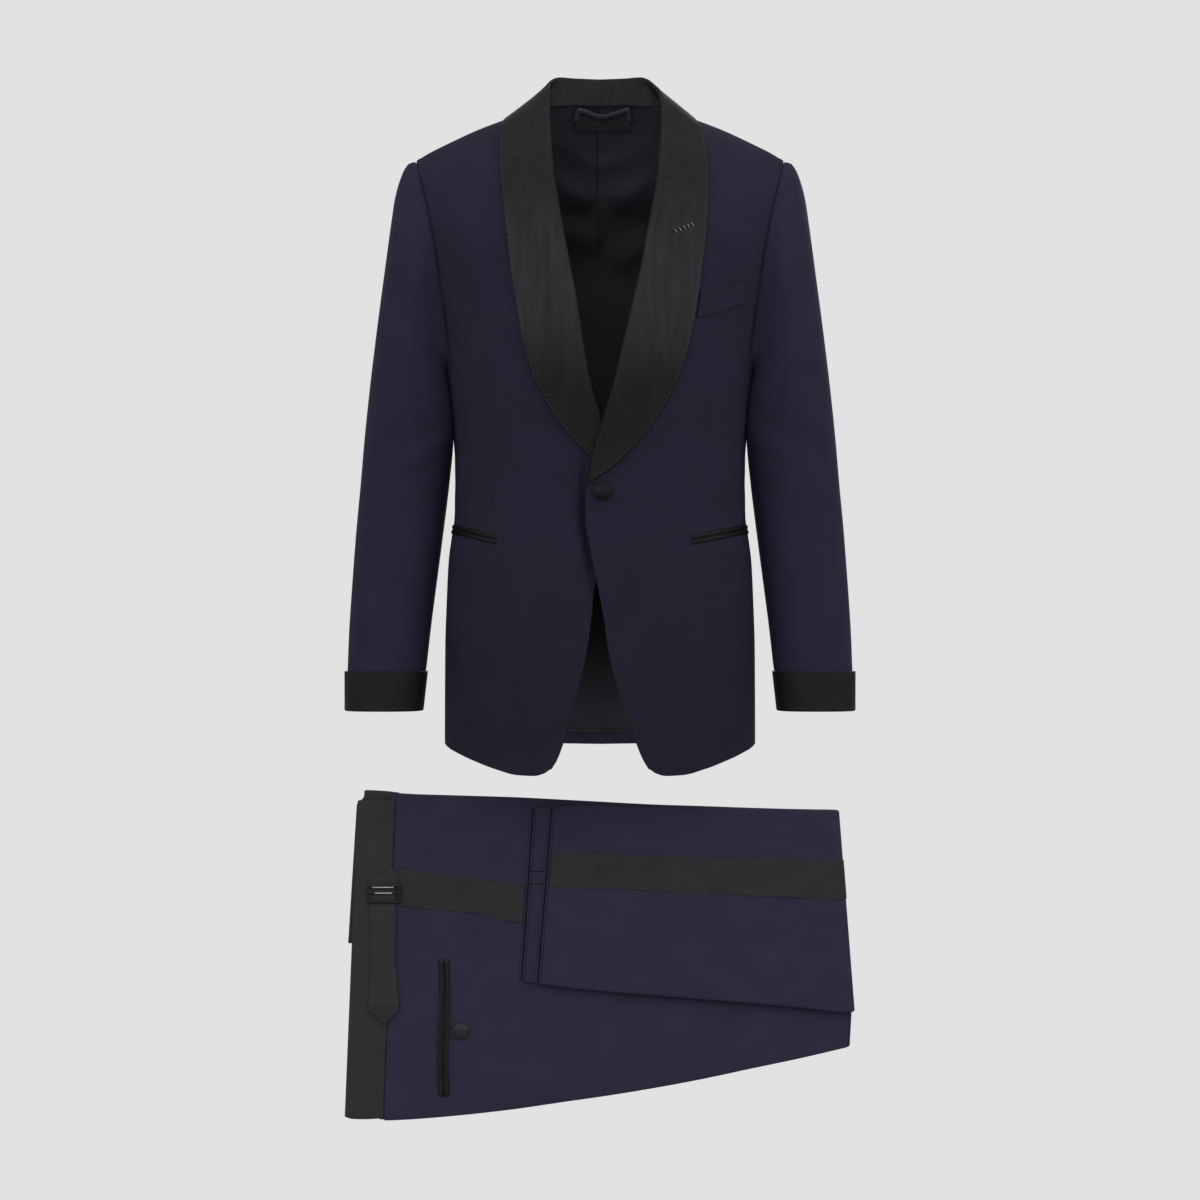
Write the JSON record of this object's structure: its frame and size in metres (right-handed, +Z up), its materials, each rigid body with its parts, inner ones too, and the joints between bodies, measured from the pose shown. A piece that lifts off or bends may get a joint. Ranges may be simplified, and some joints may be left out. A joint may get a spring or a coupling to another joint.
{
  "type": "tuxedo",
  "caption": "Two-piece tuxedo: a hollow, filled-out one-button jacket with a shawl collar and turn-back cuffs, and its trousers folded flat below it.",
  "frame": {"origin": "middle of the jacket's shoulder line, where the wearer's neck and shoulders hold it up", "axes": "+Z up, front faces -Y, +X is the wearer's left, at the right of the front view"},
  "size_m": [0.6002, 0.2614, 1.2361],
  "materials": {
    "navy_wool": "fine worsted wool, matt",
    "black_grosgrain": "ribbed grosgrain, low sheen",
    "black_satin": "satin",
    "lining_satin": "smooth lining, soft sheen",
    "label_cloth": "woven, bare",
    "covered_button": "satin-covered",
    "buckle_metal": "black enamel"
  },
  "bodies": {
    "root": {"front_left": "navy_wool", "front_right": "navy_wool", "side_left": "navy_wool", "side_right": "navy_wool", "back_left": "navy_wool", "back_right": "navy_wool", "top_sleeve_left": "navy_wool", "top_sleeve_right": "navy_wool", "under_sleeve_left": "navy_wool", "under_sleeve_right": "navy_wool", "cuff_left": "black_grosgrain", "cuff_right": "black_grosgrain", "collar_left": "black_grosgrain", "collar_right": "black_grosgrain", "back_lining": "lining_satin", "hanger_loop": "lining_satin", "label_patch": "label_cloth", "chest_welt": "navy_wool", "hip_jets_left": "black_satin", "hip_jets_right": "black_satin", "front_button": "covered_button", "near_leg": "navy_wool", "far_leg": "navy_wool", "waistband": "black_grosgrain", "stripe_thigh": "black_grosgrain", "stripe_shin": "black_grosgrain", "side_adjuster": "black_grosgrain", "adjuster_buckle": "buckle_metal", "back_pocket_jets": "black_satin", "pocket_button": "covered_button"}
  },
  "joints": []
}
